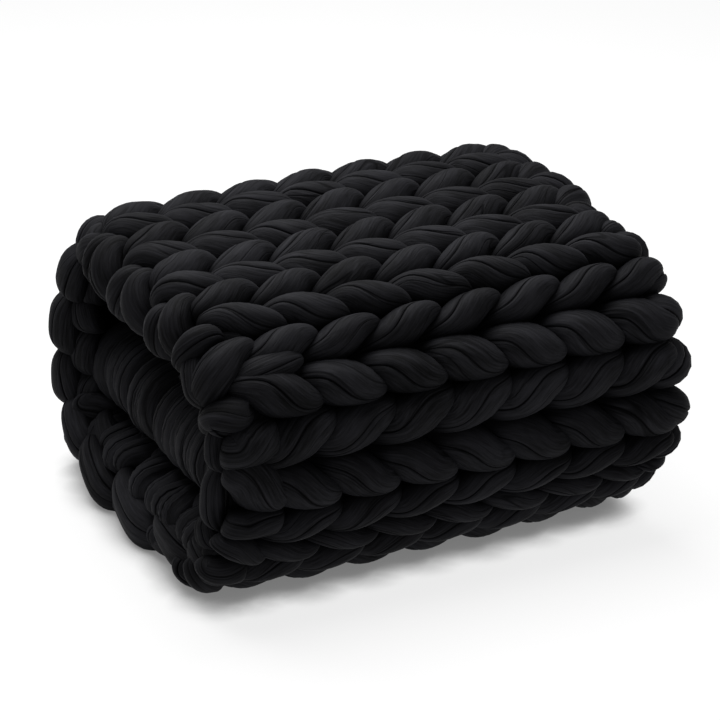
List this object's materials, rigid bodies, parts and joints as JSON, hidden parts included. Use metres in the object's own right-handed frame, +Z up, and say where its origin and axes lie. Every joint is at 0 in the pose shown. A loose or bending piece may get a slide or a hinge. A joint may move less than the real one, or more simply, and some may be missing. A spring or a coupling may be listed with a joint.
{
  "type": "folded weighted blanket",
  "caption": "Chunky hand-knitted weighted blanket in matte black yarn, folded into a soft rounded bundle that lies flat.",
  "frame": {"origin": "middle of the underside, on the surface that the bundle lies on", "axes": "+X along the stitch columns, towards the folded right end; +Y towards the rear; +Z up"},
  "size_m": [0.499, 0.4478, 0.2895],
  "materials": {
    "yarn": "matte brushed yarn with a faint sheen"
  },
  "bodies": {
    "root": {"knitted_blanket": "yarn"}
  },
  "joints": []
}
